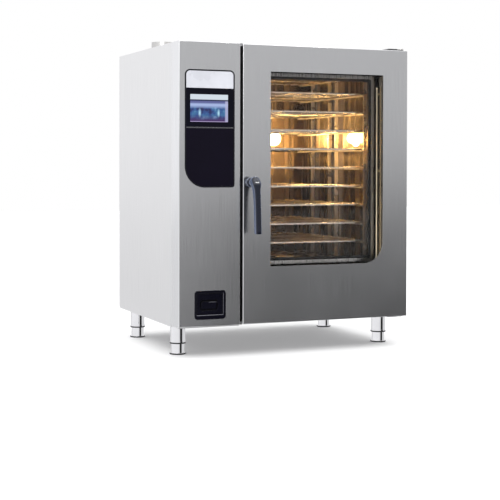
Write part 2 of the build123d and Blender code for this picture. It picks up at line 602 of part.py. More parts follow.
with BuildPart() as lower_cover:
    depth_extrude(insert_face((INSERT_Z[0], TRIM_Z[0])), (-1.0, 12))
save(lower_cover.part, "lower_cover")

# ---------------------------------------------------------------- hand shower

# Shower pocket: a framed box in the fascia's foot.
POCKET_DEPTH = 78.0
SHOWER_X = (64.0, 154.5)
SHOWER_Z = (145.0, 214.0)
POCKET_PROUD = 3.0
with BuildPart() as shower_pocket:
    with BuildSketch(front_plane(-POCKET_PROUD)):
        panel_outline(POCKET_X, POCKET_Z, 11.0)
    extrude(amount=-POCKET_PROUD)
    fillet(shower_pocket.faces().sort_by(Axis.Y)[0].edges(), 1.5)
    with BuildSketch(front_plane(0)):
        panel_outline(grow(SHOWER_X, 3), grow(SHOWER_Z, 3), 6.0)
    extrude(amount=-POCKET_DEPTH)
    with BuildSketch(front_plane(-POCKET_PROUD - 1)):
        panel_outline(grow(SHOWER_X, 0.8), grow(SHOWER_Z, 0.8), 4.5)
    extrude(amount=-(POCKET_DEPTH + POCKET_PROUD - 1), mode=Mode.SUBTRACT)
    rim = shower_pocket.faces().sort_by(Axis.Y)[0].inner_wires()[0]
    chamfer(rim.edges(), 2.4)
save(shower_pocket.part, "shower_pocket")

# Shower head: a block that fills the pocket, with a grip set in a round trough.
GRIP_X = (79.0, 132.5)
GRIP_Z = (164.0, 189.0)
with BuildPart() as shower_head:
    with BuildSketch(front_plane(-0.5)):
        panel_outline(SHOWER_X, SHOWER_Z, 4.0)
    extrude(amount=-68)
    with BuildSketch(front_plane(-0.5)):
        panel_outline(grow(GRIP_X, 5), grow(GRIP_Z, 5), 9.0)
    extrude(amount=-12, mode=Mode.SUBTRACT)
    with BuildSketch(front_plane(-0.5)):
        panel_outline(GRIP_X, GRIP_Z, 8.0)
    extrude(amount=-13)
save(shower_head.part, "shower_head")

# ---------------------------------------------------------------- door

# Door shell: a folded tray with the window cut into its front and a tunnel behind the cut.
with BuildPart() as door_shell:
    block(DOOR_X, (0, DOOR_BACK - 2), DOOR_Z)
    fillet(door_shell.faces().sort_by(Axis.Y)[0].edges(), EDGE_RADIUS)
    block(grow(DOOR_X, -DOOR_SHEET), (DOOR_SHEET, DOOR_BACK), grow(DOOR_Z, -DOOR_SHEET), Mode.SUBTRACT)
    block(grow(WINDOW_X, 4), (DOOR_SHEET, DOOR_BACK - 2), grow(WINDOW_Z, 4))
    block(grow(WINDOW_X, 2), (DOOR_SHEET, DOOR_BACK), grow(WINDOW_Z, 2), Mode.SUBTRACT)
    depth_extrude(window_outline(), (-1, DOOR_SHEET + 1), Mode.SUBTRACT)
    for z in DOOR_Z:
        bar_z(grow((z, z), 4), HINGE, HINGE_PIN_RADIUS, Mode.SUBTRACT)
    bar_y((-1, DOOR_SHEET + 1), SPINDLE, SPINDLE_RADIUS + 2, Mode.SUBTRACT)
save(door_shell.part, "door_shell")

# Outer glass: a pane that fills the tunnel right behind the front sheet.
with BuildPart() as door_outer_glass:
    block(grow(WINDOW_X, 1.5), (DOOR_SHEET, DOOR_SHEET + 5), grow(WINDOW_Z, 1.5))
save(door_outer_glass.part, "door_outer_glass")

# Door liner: the sheet that closes the door's back, with a raised lip around the inner pane.
LIP = 12.0
with BuildPart() as door_liner:
    with BuildSketch(front_plane(DOOR_BACK - 2)):
        panel_outline(DOOR_X, DOOR_Z)
        panel_outline(INNER_PANE_X, INNER_PANE_Z, 6.0, Mode.SUBTRACT)
    extrude(amount=-2)
    with BuildSketch(front_plane(DOOR_BACK - 10)):
        panel_outline(grow(INNER_PANE_X, LIP), grow(INNER_PANE_Z, LIP), 12.0)
        panel_outline(INNER_PANE_X, INNER_PANE_Z, 6.0, Mode.SUBTRACT)
    extrude(amount=-8)
    bar_y((DOOR_BACK - 3, DOOR_BACK + 1), SPINDLE, SPINDLE_RADIUS + RUNNING_GAP, Mode.SUBTRACT)
save(door_liner.part, "door_liner")

# Inner glass.
with BuildPart() as door_inner_glass:
    with BuildSketch(front_plane(DOOR_BACK - 7)):
        panel_outline(grow(INNER_PANE_X, -0.5), grow(INNER_PANE_Z, -0.5), 5.5)
    extrude(amount=-5)
save(door_inner_glass.part, "door_inner_glass")

# Pivot rod: the inner glass swings out on it for cleaning.
with BuildPart() as glass_pivot_rod:
    bar_z((304, 906), (753.5, 36), 3.0)
    bar_z((906, 914), (753.5, 36), 4.5)
    fillet(glass_pivot_rod.edges().group_by(Axis.Z)[-1], 3.0)
    for z in (312, 620, 890):
        block((753, WINDOW_X[1] + 2), (33.5, 38.5), (z - 3, z + 3))
save(glass_pivot_rod.part, "glass_pivot_rod")

# Hinge pins: each runs from the door's end into a bracket's arm; the upper one has a round head.
with BuildPart() as hinge_pins:
    bar_z((DOOR_Z[1] - 14, TOP + HINGE_ARM + 0.3), HINGE, HINGE_PIN_RADIUS)
    bar_z((TOP + HINGE_ARM + 0.3, TOP + HINGE_ARM + 4.3), HINGE, HINGE_HEAD_RADIUS)
    bar_z((BOTTOM + 1.6, DOOR_Z[0] + 16), HINGE, HINGE_PIN_RADIUS)
    bar_z((DOOR_Z[0] - 0.7, DOOR_Z[0]), HINGE, 9.0)
save(hinge_pins.part, "hinge_pins")

# Hinge brackets: a plate on the casing with a thin arm that reaches out over the door.
with BuildPart() as hinge_brackets:
    for base, thickness in ((TOP, 2 * HINGE_ARM), (BOTTOM + 2 * SHEET, HINGE_ARM)):
        arm_z = (base, base + HINGE_ARM)
        block((HINGE[0] - 57, HINGE[0] - 21), (10, 96), (base, base + thickness))
        block((HINGE[0] - 22, HINGE[0]), (HINGE[1] - 12, HINGE[1] + 12), arm_z)
        bar_z(arm_z, HINGE, HINGE_HEAD_RADIUS)
        bar_z(grow(arm_z, 1), HINGE, HINGE_PIN_RADIUS + RUNNING_GAP, Mode.SUBTRACT)
save(hinge_brackets.part, "hinge_brackets")

# ---------------------------------------------------------------- handle and latch

# Rose: the round foot that the spindle turns in, on the door's face.
with BuildPart() as handle_boss:
    bar_y((-ROSE_THICKNESS, 0), SPINDLE, ROSE_RADIUS)
    chamfer(handle_boss.edges().filter_by(GeomType.CIRCLE).group_by(Axis.Y)[0], 3)
    bar_y((-ROSE_THICKNESS - 1, 1), SPINDLE, SPINDLE_RADIUS + RUNNING_GAP, Mode.SUBTRACT)
save(handle_boss.part, "handle_boss")

# Lever: a blade that hangs from a round head and leans away from the door towards its end.
with BuildPart() as handle_lever:
    lever_x = SPINDLE[0] - WIDTH / 2
    head_z = LEVER_TOP - HEAD_RADIUS
    with BuildSketch(Plane.YZ.offset(lever_x)):
        with BuildLine():
            head_front = (FRONT - 40, LEVER_TOP)
            brow = (FRONT - 60, LEVER_TOP - 26)
            foot_front = (FRONT - HANDLE_REACH, LEVER_BOTTOM)
            foot_back = (FRONT - 50, LEVER_BOTTOM)
            head_back = (FRONT - 33, LEVER_TOP - 44)
            Line(head_front, brow)
            ThreePointArc(brow, (FRONT - 69, LEVER_TOP - 97), foot_front)
            Line(foot_front, foot_back)
            ThreePointArc(foot_back, (FRONT - 43, LEVER_TOP - 122), head_back)
            Polyline(head_back, (FRONT - 26, LEVER_TOP - 38), (FRONT - 26, LEVER_TOP), head_front)
        make_face()
    extrude(amount=HEAD_RADIUS, both=True)
    with BuildSketch(front_plane(-HANDLE_REACH - 5)) as lever_outline:
        with Locations((lever_x, head_z)):
            Circle(HEAD_RADIUS)
        with Locations((lever_x, (head_z + LEVER_BOTTOM) / 2)):
            Rectangle(LEVER_WIDTH, head_z - LEVER_BOTTOM)
    extrude(amount=-HANDLE_REACH, mode=Mode.INTERSECT)
    bar_y((-30, -12), SPINDLE, 12.5)
    bar_y((-40, -11), SPINDLE, SPINDLE_RADIUS, Mode.SUBTRACT)
save(handle_lever.part, "handle_lever")

# Latch spindle: a shaft through the door with a cam that stands in the keeper's jaws.
with BuildPart() as latch_spindle:
    bar_y((-40, 68), SPINDLE, SPINDLE_RADIUS)
    with BuildSketch(front_plane(DOOR_BACK + 1.5)):
        with Locations((SPINDLE[0] - WIDTH / 2, SPINDLE[1])):
            SlotOverall(2 * JAW_DISTANCE - 8, 18, rotation=90)
    extrude(amount=-5.5)
save(latch_spindle.part, "latch_spindle")

# Latch keeper: two jaws above and below the cam, open to the front.
with BuildPart() as latch_keeper:
    keeper_x = grow((SPINDLE[0],) * 2, 14)
    block(keeper_x, (MOUTH_Y - 1.5, MOUTH_Y), grow((SPINDLE[1],) * 2, JAW_DISTANCE + 12))
    for side in (-1, 1):
        jaw = sorted((SPINDLE[1] + side * JAW_DISTANCE, SPINDLE[1] + side * (JAW_DISTANCE + 4)))
        block(keeper_x, (DOOR_BACK + 2, MOUTH_Y - 1.5), tuple(jaw))
save(latch_keeper.part, "latch_keeper")

# ---------------------------------------------------------------- legs and feet

# Leg tubes: closed by a collar at the foot, through which the foot's stem screws.
with BuildPart() as leg_tubes:
    for x in LEG_X:
        for y in LEG_Y:
            bar_z((COLLAR_Z[0], BOTTOM), (x, y), LEG_RADIUS)
            bar_z(COLLAR_Z, (x, y), LEG_RADIUS + 1)
            bar_z((COLLAR_Z[1] + 2, BOTTOM + 1), (x, y), LEG_RADIUS - 2.5, Mode.SUBTRACT)
            bar_z((COLLAR_Z[0] - 1, COLLAR_Z[1] + 3), (x, y), STEM_RADIUS + RUNNING_GAP, Mode.SUBTRACT)
save(leg_tubes.part, "leg_tubes")

# Feet: a flange, a round body and a threaded stem.
foot_places = [("front_left", LEG_X[0], LEG_Y[0]), ("front_right", LEG_X[1], LEG_Y[0]),
               ("rear_left", LEG_X[0], LEG_Y[1]), ("rear_right", LEG_X[1], LEG_Y[1])]
for place, x, y in foot_places:
    with BuildPart() as foot:
        bar_z((0, 5), (x, y), FLANGE_RADIUS)
        fillet(foot.edges().group_by(Axis.Z)[-1], 2.0)
        bar_z((5, COLLAR_Z[0] - 0.4), (x, y), FOOT_RADIUS)
        bar_z((COLLAR_Z[0] - 0.4, BOTTOM - 6), (x, y), STEM_RADIUS)
    save(foot.part, f"foot_{place}")

# ---------------------------------------------------------------- fasteners

# Pan-head screws that hold the rear panel and the roof panel.
with BuildPart() as casing_screws:
    for x in (22.0, 290.0, 567.0, WIDTH - 22.0):
        for z in (BOTTOM + 14, 420, 740, TOP - 14):
            bar_y((REAR_Y[1], REAR_Y[1] + 3), (x, z), 5.0)
    for x in (30.0, WIDTH - 30.0):
        for y in (150.0, 400.0, 630.0):
            bar_z((TOP, TOP + 2.5), (x, y), 5.0)
save(casing_screws.part, "casing_screws")
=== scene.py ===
import json
import math
import bmesh
import bpy
from mathutils import Matrix, Vector


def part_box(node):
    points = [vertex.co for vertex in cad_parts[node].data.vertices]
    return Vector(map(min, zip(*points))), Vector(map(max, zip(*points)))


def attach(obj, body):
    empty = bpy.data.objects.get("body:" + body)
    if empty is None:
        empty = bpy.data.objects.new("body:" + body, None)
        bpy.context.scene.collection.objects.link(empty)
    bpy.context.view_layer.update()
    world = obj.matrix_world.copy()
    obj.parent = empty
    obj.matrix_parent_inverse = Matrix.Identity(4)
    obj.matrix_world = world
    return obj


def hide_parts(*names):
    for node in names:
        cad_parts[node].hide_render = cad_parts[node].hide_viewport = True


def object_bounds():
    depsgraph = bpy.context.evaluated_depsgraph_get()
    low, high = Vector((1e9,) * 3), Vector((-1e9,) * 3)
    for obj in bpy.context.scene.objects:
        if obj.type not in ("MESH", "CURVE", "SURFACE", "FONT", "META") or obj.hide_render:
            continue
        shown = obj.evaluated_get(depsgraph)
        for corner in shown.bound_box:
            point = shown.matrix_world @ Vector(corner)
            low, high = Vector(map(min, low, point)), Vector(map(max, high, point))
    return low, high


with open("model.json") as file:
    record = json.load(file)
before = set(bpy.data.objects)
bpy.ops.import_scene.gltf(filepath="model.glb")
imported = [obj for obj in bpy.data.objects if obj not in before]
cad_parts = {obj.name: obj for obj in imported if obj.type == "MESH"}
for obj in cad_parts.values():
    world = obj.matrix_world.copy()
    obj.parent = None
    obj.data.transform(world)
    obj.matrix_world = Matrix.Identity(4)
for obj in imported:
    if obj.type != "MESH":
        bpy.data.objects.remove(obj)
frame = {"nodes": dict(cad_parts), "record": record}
cad_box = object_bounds()

MM = 0.001

# ---------------------------------------------------------------- places taken from the frame

door_low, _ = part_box("door_shell")
fascia_low, fascia_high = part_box("front_fascia")
screen_low, screen_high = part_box("touch_screen")
cover_low, cover_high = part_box("lower_cover")
pane_low, pane_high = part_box("door_inner_glass")
glass_low, glass_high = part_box("door_outer_glass")
_, liner_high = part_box("door_liner")
lever_low, lever_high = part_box("handle_lever")
boss_low, boss_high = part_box("handle_boss")
lens_low, lens_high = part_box("lamp_lenses")
FRONT = door_low.y
MIDDLE = (cad_box[0] + cad_box[1]) / 2
LEVER_X = (lever_low.x + lever_high.x) / 2
BOSS_X = (boss_low.x + boss_high.x) / 2
SPINDLE_Z = (boss_low.z + boss_high.z) / 2


# ---------------------------------------------------------------- materials

class Tree:
    """A node tree, with short calls for the nodes that the finishes and the studio share."""

    def __init__(self, tree):
        self.tree = tree

    def fill(self, socket, value):
        """A socket takes a plain value, or a link from another node."""
        if isinstance(value, bpy.types.NodeSocket):
            self.tree.links.new(value, socket)
        else:
            socket.default_value = value

    def add(self, kind, sockets=None, **values):
        """A new node, with its settings and what its sockets take."""
        node = self.tree.nodes.new(kind)
        for key, value in values.items():
            setattr(node, key, value)
        for key, value in (sockets or {}).items():
            self.fill(node.inputs[key], value)
        return node

    def calculate(self, operation, *values):
        """Arithmetic over plain numbers and other nodes."""
        return self.add("ShaderNodeMath", dict(enumerate(values)), operation=operation).outputs[0]

    def ramp(self, source, stops):
        """Colours along a value: each stop is a position and a colour."""
        node = self.add("ShaderNodeValToRGB", {"Fac": source})
        elements = node.color_ramp.elements
        while len(elements) < len(stops):
            elements.new(0.5)
        for element, (position, color) in zip(elements, stops):
            element.position = position
            element.color = (*color, 1)
        return node.outputs["Color"]

    def spread(self, source, low, high, start=0.3, end=0.7, curve="LINEAR"):
        """Turn the part of a value from start to end into low to high."""
        sockets = {"Value": source, "From Min": start, "From Max": end,
                   "To Min": low, "To Max": high}
        return self.add("ShaderNodeMapRange", sockets, interpolation_type=curve).outputs["Result"]

    def mix(self, factor, below, above):
        """One colour over another: each is a plain colour or comes from another node."""
        node = self.add("ShaderNodeMix", {"Factor": factor}, data_type="RGBA")
        for source, socket in ((below, "A"), (above, "B")):
            self.fill(node.inputs[socket], (*source, 1) if isinstance(source, tuple) else source)
        return node.outputs["Result"]


class Finish(Tree):
    """A material's tree: patterns in the object's own space feed the sockets of its shader."""

    def __init__(self, name, **constants):
        self.material = bpy.data.materials.new(name)
        self.material.use_nodes = True
        super().__init__(self.material.node_tree)
        self.shader = self.tree.nodes["Principled BSDF"]
        self.place = self.add("ShaderNodeTexCoord").outputs["Object"]
        for key, value in constants.items():
            self.shader.inputs[key.replace("_", " ")].default_value = value

    def feed(self, socket, source):
        self.tree.links.new(source, self.shader.inputs[socket])

    def mapped(self, kind="POINT", **sockets):
        """The object's own space, moved, turned or stretched."""
        sockets["Vector"] = self.place
        return self.add("ShaderNodeMapping", sockets, vector_type=kind).outputs["Vector"]

    def noise(self, scale, detail=4.0, stretch=(1, 1, 1), roughness=0.55):
        sockets = {"Scale": scale, "Detail": detail, "Roughness": roughness,
                   "Vector": self.mapped(Scale=stretch)}
        return self.add("ShaderNodeTexNoise", sockets).outputs["Fac"]

    def bump(self, height, strength, distance):
        sockets = {"Strength": strength, "Distance": distance, "Height": height}
        self.feed("Normal", self.add("ShaderNodeBump", sockets).outputs["Normal"])


def grey(value, tint=(1, 1, 1)):
    """A tint at a brightness; plain grey without one."""
    return tuple(value * t for t in tint)


def brushed_steel(name, value, roughness, tint=(1, 1, 1), grain_and_painted_streaks=(70, 70, 1), strength=0.06,
                  depth=0.05):
    """Stainless steel with a grain of stretched noise in colour, roughness and height; the deep
    upright streaks in the chamber are painted reflections.
    """
    n = Finish(name, Metallic=1.0)
    fine = n.noise(scale=7, detail=3, stretch=grain_and_painted_streaks, roughness=0.45)
    broad = n.noise(scale=2.2, detail=3)
    n.feed("Base Color", n.ramp(fine, [(0.25, grey(value * (1 - depth), tint)),
                                       (0.75, grey(value * (1 + depth), tint))]))
    n.feed("Roughness", n.calculate("MULTIPLY", n.spread(fine, *roughness),
                                    n.spread(broad, 0.92, 1.1)))
    n.bump(fine, strength, distance=0.01 * MM)
    return n.material


def polished_metal(name, color, roughness):
    """Turned or drawn metal: bright, with faint smears and fine ring marks."""
    n = Finish(name, Metallic=1.0)
    smears = n.noise(scale=26, detail=5)
    n.feed("Base Color", n.ramp(smears, [(0.3, grey(0.94, color)), (0.7, color)]))
    n.feed("Roughness", n.spread(smears, *roughness))
    n.bump(n.noise(scale=20, detail=3, stretch=(2, 2, 90)), strength=0.06, distance=0.06 * MM)
    return n.material


def gloss_plastic(name, color, roughness, coat=0.0, shine=0.5):
    """Moulded gloss plastic: slight orange peel, and a clear coat where it has one."""
    n = Finish(name, Coat_Weight=coat, Coat_Roughness=0.04, Specular_IOR_Level=shine)
    wear = n.noise(scale=9, detail=5)
    n.feed("Base Color", n.ramp(wear, [(0.3, grey(0.9, color)), (0.8, grey(1.15, color))]))
    n.feed("Roughness", n.spread(wear, *roughness))
    n.bump(n.noise(scale=260, detail=2), strength=0.05, distance=0.05 * MM)
    return n.material


def lacquer(name, front, painted_flank_sheen):
    """Deep gloss lacquer with the faintest orange peel, its colour painted paler towards its
    flanks: a painted sheen.
    """
    n = Finish(name, Coat_Weight=1.0, Coat_Roughness=0.06, Coat_IOR=1.42, Specular_IOR_Level=0.15)
    cloud = n.noise(scale=60, detail=3)
    # Painted sheen: the base colour pales as the surface turns away from the view, standing in for
    # the bright studio mirrored in the flanks.
    facing = n.add("ShaderNodeLayerWeight").outputs["Facing"]
    cloud_and_sheen = n.calculate("MULTIPLY_ADD", cloud, 0.12, facing)
    n.feed("Base Color", n.ramp(cloud_and_sheen, [(0.30, front), (0.68, painted_flank_sheen)]))
    n.feed("Roughness", n.spread(cloud, 0.2, 0.3))
    n.bump(n.noise(scale=700, detail=2), strength=0.05, distance=0.02 * MM)
    return n.material


def matt_plastic(name, color, roughness, texture):
    """Moulded plastic, rubber or paint with a fine eroded texture."""
    n = Finish(name)
    fine = n.noise(scale=texture, detail=3)
    broad = n.noise(scale=14, detail=4)
    n.feed("Base Color", n.ramp(broad, [(0.3, grey(0.85, color)), (0.75, grey(1.2, color))]))
    n.feed("Roughness", n.spread(fine, *roughness))
    n.bump(fine, strength=0.2, distance=0.12 * MM)
    return n.material


def clear_glass(name, tint):
    """Coated, toughened glass: clear and low in reflection, with faint streaks left by wiping."""
    n = Finish(name, Transmission_Weight=1.0, IOR=1.2)
    streaks = n.noise(scale=5, detail=4, stretch=(1, 1, 0.3))
    n.feed("Base Color", n.ramp(streaks, [(0.3, tint), (0.8, grey(1.02, tint))]))
    n.feed("Roughness", n.spread(streaks, 0.0, 0.015, start=0.5, end=0.8))
    return n.material


def fibrous(name, color):
    """Mineral wool: matted fibres."""
    n = Finish(name, Roughness=0.95, Sheen_Weight=0.3)
    fibres = n.noise(scale=120, detail=8, stretch=(1, 1, 6), roughness=0.75)
    n.feed("Base Color", n.ramp(fibres, [(0.3, grey(0.6, color)), (0.7, color)]))
    n.bump(fibres, strength=0.7, distance=2 * MM)
    return n.material


def circuit_board(name, mask, tracks):
    """A board of solder mask in two close shades, crossed by copper tracks."""
    n = Finish(name, Roughness=0.35)
    upright = n.mapped(Rotation=(math.radians(90), 0, 0))
    grid = n.add("ShaderNodeTexBrick", {
        "Scale": 60, "Mortar Size": 0.03, "Vector": upright,
        "Color1": (*mask[0], 1), "Color2": (*mask[1], 1), "Mortar": (*tracks, 1)})
    n.feed("Base Color", grid.outputs["Color"])
    n.bump(grid.outputs["Fac"], strength=0.3, distance=0.2 * MM)
    return n.material


def heat_tinted(name, brown, straw, blue):
    """Steel tube browned and blued by heat."""
    n = Finish(name, Metallic=1.0)
    patches = n.noise(scale=11, detail=5)
    n.feed("Base Color", n.ramp(patches, [(0.3, brown), (0.5, straw), (0.7, blue)]))
    n.feed("Roughness", n.spread(patches, 0.35, 0.55))
    n.bump(n.noise(scale=300, detail=3), strength=0.2, distance=0.1 * MM)
    return n.material


def lit_glass(name, color, strength):
    """A lit lens or bulb: brightest where its own noise is thick, like ribbed glass."""
    n = Finish(name, Roughness=0.2, Emission_Strength=strength)
    ribs = n.noise(scale=40, detail=2, stretch=(1, 1, 5))
    n.feed("Emission Color", n.ramp(ribs, [(0.2, grey(0.85, color)), (0.8, color)]))
    n.feed("Base Color", n.ramp(ribs, [(0.2, (0.9, 0.8, 0.6)), (0.8, (1.0, 0.95, 0.8))]))
    return n.material


FINISH_ROWS = {  # each finish: the kind that it is, and that kind's values
    "front_steel": (brushed_steel, dict(value=0.82, tint=(0.985, 0.99, 1.0),
                                        roughness=(0.205, 0.22))),
    "casing_steel": (brushed_steel, dict(value=0.82, roughness=(0.32, 0.38))),
    # The chamber's steel is painted dark and warm with deep upright streaks in its colour: painted
    # shade of the closed chamber, a painted cast of the lamps' golden light, and painted
    # reflections of the dark door.
    "chamber_steel": (brushed_steel, dict(value=0.17, tint=(1.0, 0.82, 0.68),
                                          roughness=(0.16, 0.34), grain_and_painted_streaks=(5, 5, 0.12),
                                          strength=0.0, depth=0.6)),
    "liner_steel": (brushed_steel, dict(value=0.36, tint=(1.0, 0.97, 0.94),
                                        roughness=(0.24, 0.34))),
    "sheet_steel": (brushed_steel, dict(value=0.60, tint=(1.0, 0.99, 0.97),
                                        roughness=(0.26, 0.36))),
    "rack_steel": (polished_metal, dict(color=(0.95, 0.93, 0.90), roughness=(0.24, 0.36))),
    "shelf_wire": (polished_metal, dict(color=(0.92, 0.90, 0.86), roughness=(0.08, 0.15))),
    # The pivot rod's golden tint is a painted reflection of the lamp-lit chamber.
    "rod_steel": (polished_metal, dict(color=(0.98, 0.86, 0.62), roughness=(0.10, 0.20))),
    "heater_steel": (heat_tinted, dict(brown=(0.10, 0.07, 0.055), straw=(0.22, 0.15, 0.10),
                                       blue=(0.12, 0.12, 0.2))),
    "leg_chrome": (polished_metal, dict(color=(0.84, 0.84, 0.85), roughness=(0.03, 0.08))),
    # The handle's paler flank colour is a painted sheen of reflected studio light.
    "handle_blue": (lacquer, dict(front=(0.002, 0.004, 0.013), painted_flank_sheen=(0.10, 0.125, 0.20))),
    "black_gloss": (gloss_plastic, dict(color=(0.004, 0.003, 0.008), roughness=(0.06, 0.12),
                                        shine=0.1)),
    "black_plastic": (gloss_plastic, dict(color=(0.003, 0.003, 0.007), roughness=(0.10, 0.16),
                                          shine=0.3)),
    "header_silver": (gloss_plastic, dict(color=(0.60, 0.61, 0.66), roughness=(0.25, 0.35),
                                          coat=0.3)),
    "screen_glass": (gloss_plastic, dict(color=(0.003, 0.003, 0.007), roughness=(0.03, 0.08),
                                         shine=0.1)),
    "door_glass": (clear_glass, dict(tint=(0.84, 0.84, 0.84))),
    "lamp_glass": (lit_glass, dict(color=(1.0, 0.74, 0.36), strength=26.0)),
    "lamp_glow": (lit_glass, dict(color=(1.0, 0.86, 0.58), strength=18.0)),
    "hinge_black": (matt_plastic, dict(color=(0.05, 0.05, 0.055), roughness=(0.3, 0.45),
                                       texture=300)),
    "gasket_rubber": (matt_plastic, dict(color=(0.012, 0.012, 0.013), roughness=(0.5, 0.7),
                                         texture=500)),
    "mineral_wool": (fibrous, dict(color=(0.55, 0.48, 0.28))),
    "motor_paint": (matt_plastic, dict(color=(0.045, 0.055, 0.065), roughness=(0.35, 0.5),
                                       texture=200)),
    "circuit_board": (circuit_board, dict(mask=((0.015, 0.11, 0.035), (0.02, 0.15, 0.05)),
                                          tracks=(0.25, 0.32, 0.08))),
    "union_brass": (polished_metal, dict(color=(0.78, 0.57, 0.27), roughness=(0.15, 0.28))),
}
FINISHES = {name: make(name, **values) for name, (make, values) in FINISH_ROWS.items()}

OWN_FINISH = {  # nodes that differ from the rest of their slot
    "mouth_frame": "sheet_steel", "drain_fitting": "sheet_steel", "steam_generator": "sheet_steel",
    "vent_pipe": "sheet_steel", "door_liner": "liner_steel", "glass_pivot_rod": "rod_steel"}


def dress_nodes():
    """Give every CAD node its slot's finish, or its own."""
    slots = {s["node"]: s["material_slot"] for s in frame["record"]["subparts"]}
    slots.update(OWN_FINISH)
    for name, node in frame["nodes"].items():
        node.data.materials.clear()
        node.data.materials.append(FINISHES[slots[name]])


# ---------------------------------------------------------------- edges

CAD_CORNER = 40    # degrees between two faces of a CAD node from which their edge is rounded
PIECE_CORNER = 35  # the same for a piece built here
ONE_PLANE = 0.2    # degrees up to which two faces are joined

EDGE_WIDTHS = {  # millimetres, and the CAD nodes whose edges are rounded by that much
    0.3: ("control_board",),
    0.5: ("control_bezel", "touch_screen", "drain_fitting", "rack_left", "rack_right",
          "mouth_frame"),
    0.6: ("header_strip", "lower_cover", "shower_pocket", "hinge_brackets", "vent_pipe"),
    0.8: ("left_side_panel", "right_side_panel", "shower_head", "water_unions", "latch_keeper",
          "door_liner"),
    0.9: ("door_shell", "front_fascia"),
    1.0: ("cable_gland", "fan_motor", "cooling_fan_frame"),
    1.2: ("hinge_pins", "steam_generator"),
    1.4: ("casing_screws",),
    2.0: ("door_gasket",),
}


def bevel(thing, width, corner):
    """Round a thing's sharp edges so that they catch the light."""
    modifier = thing.modifiers.new("bevel", "BEVEL")
    modifier.width = width
    modifier.segments = 2
    modifier.limit_method = "ANGLE"
    modifier.angle_limit = math.radians(corner)
    modifier.harden_normals = True


def round_cad_edges(name, width):
    """Weld a CAD node's faces, join those that lie in one plane, then round its sharp edges."""
    node = frame["nodes"][name]
    weld = node.modifiers.new("weld", "WELD")
    weld.merge_threshold = 0.01 * MM
    join = node.modifiers.new("join", "DECIMATE")
    join.decimate_type = "DISSOLVE"
    join.angle_limit = math.radians(ONE_PLANE)
    bevel(node, width, CAD_CORNER)


dress_nodes()
for width, names in EDGE_WIDTHS.items():
    for name in names:
        round_cad_edges(name, width * MM)


# ---------------------------------------------------------------- piece building

def piece(name, mesh, body, slot, material=None, smooth=True):
    """An object of the model: it rides on a body and takes the finish of its slot."""
    thing = bpy.data.objects.new(name, mesh)
    bpy.context.scene.collection.objects.link(thing)
    mesh.materials.append(material or FINISHES[slot])
    for polygon in mesh.polygons:
        polygon.use_smooth = smooth
    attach(thing, body)
    return thing


def mesh_of(build):
    """A mesh from a bmesh that has been filled; its normals are turned outwards."""
    bmesh.ops.remove_doubles(build, verts=build.verts, dist=0.001 * MM)
    bmesh.ops.recalc_face_normals(build, faces=build.faces)
    mesh = bpy.data.meshes.new("piece")
    build.to_mesh(mesh)
    build.free()
    return mesh


def skin(build, rings, closed=False):
    """Faces between rings of points: capped at both ends, or closed onto the first ring."""
    rows = [[build.verts.new(point) for point in ring] for ring in rings]
    pairs = list(zip(rows, rows[1:]))
    if closed:
        pairs.append((rows[-1], rows[0]))
    for low, high in pairs:
        for index in range(len(low)):
            after = (index + 1) % len(low)
            build.faces.new((low[index], low[after], high[after], high[index]))
    if not closed:
        build.faces.new(list(reversed(rows[0])))
        build.faces.new(rows[-1])


def rounded(x, z, radius, y, steps=6):
    """A rectangle with round corners in the plane at depth y, as a ring of points."""
    ring = []
    corners = ((x[1] - radius, z[1] - radius, 0), (x[0] + radius, z[1] - radius, 90),
               (x[0] + radius, z[0] + radius, 180), (x[1] - radius, z[0] + radius, 270))
    for cx, cz, start in corners:
        for step in range(steps + 1):
            angle = math.radians(start + 90 * step / steps)
            ring.append((cx + radius * math.cos(angle), y, cz + radius * math.sin(angle)))
    return ring


def block(build, x, z, radius, back, front, steps):
    """A block with round corners between two depths."""
    skin(build, [rounded(x, z, radius, y, steps) for y in (back, front)])


def grown(low, high, amount):
    """The x and z spans of a box, made larger all round."""
    return (low.x - amount, high.x + amount), (low.z - amount, high.z + amount)


def frame_ring(name, section, body, slot, material=None):
    """A frame of one cross-section: each of its points is (x span, z span, corner radius, y)."""
    build = bmesh.new()
    skin(build, [rounded(*point) for point in section], closed=True)
    piece(name, mesh_of(build), body, slot, material)


def turned(build, profile, centre, axis, segments, closed=False):
    """Turn a profile of (radius, height) points about an axis through the centre."""
    up = Vector(axis).normalized()
    side = up.orthogonal().normalized()
    across = up.cross(side)
    rings = []
    for radius, height in profile:
        ring = []
        for index in range(segments):
            angle = 2 * math.pi * index / segments
            reach = side * math.cos(angle) + across * math.sin(angle)
            ring.append(Vector(centre) + up * height + reach * radius)
        rings.append(ring)
    skin(build, rings, closed)


def turned_piece(name, profile, centre, axis, body, slot, segments):
    """A piece that is turned about one axis."""
    build = bmesh.new()
    turned(build, profile, centre, axis, segments)
    return piece(name, mesh_of(build), body, slot)


def in_mm(profile):
    return [(radius * MM, height * MM) for radius, height in profile]


# ---------------------------------------------------------------- control column

def make_trim_line():
    """The silver line between the screen and the lower cover."""
    play = 0.2 * MM
    inset = 0.3 * MM
    z = (cover_high.z + play, screen_low.z - play)
    x = (cover_low.x + inset, cover_high.x - inset)
    build = bmesh.new()
    block(build, x, z, radius=0.2 * MM, back=FRONT + 4.0 * MM, front=FRONT - 1.9 * MM, steps=2)
    finish = polished_metal("trim_metal", color=(0.22, 0.22, 0.23), roughness=(0.2, 0.3))
    line = piece("trim_line", mesh_of(build), "cabinet", "header_silver", finish)
    bevel(line, 0.4 * MM, PIECE_CORNER)


DISPLAY_CLOUDS = ((0.36, (0.006, 0.012, 0.10)), (0.47, (0.02, 0.08, 0.28)),
                  (0.58, (0.04, 0.17, 0.36)), (0.70, (0.20, 0.36, 0.66)))
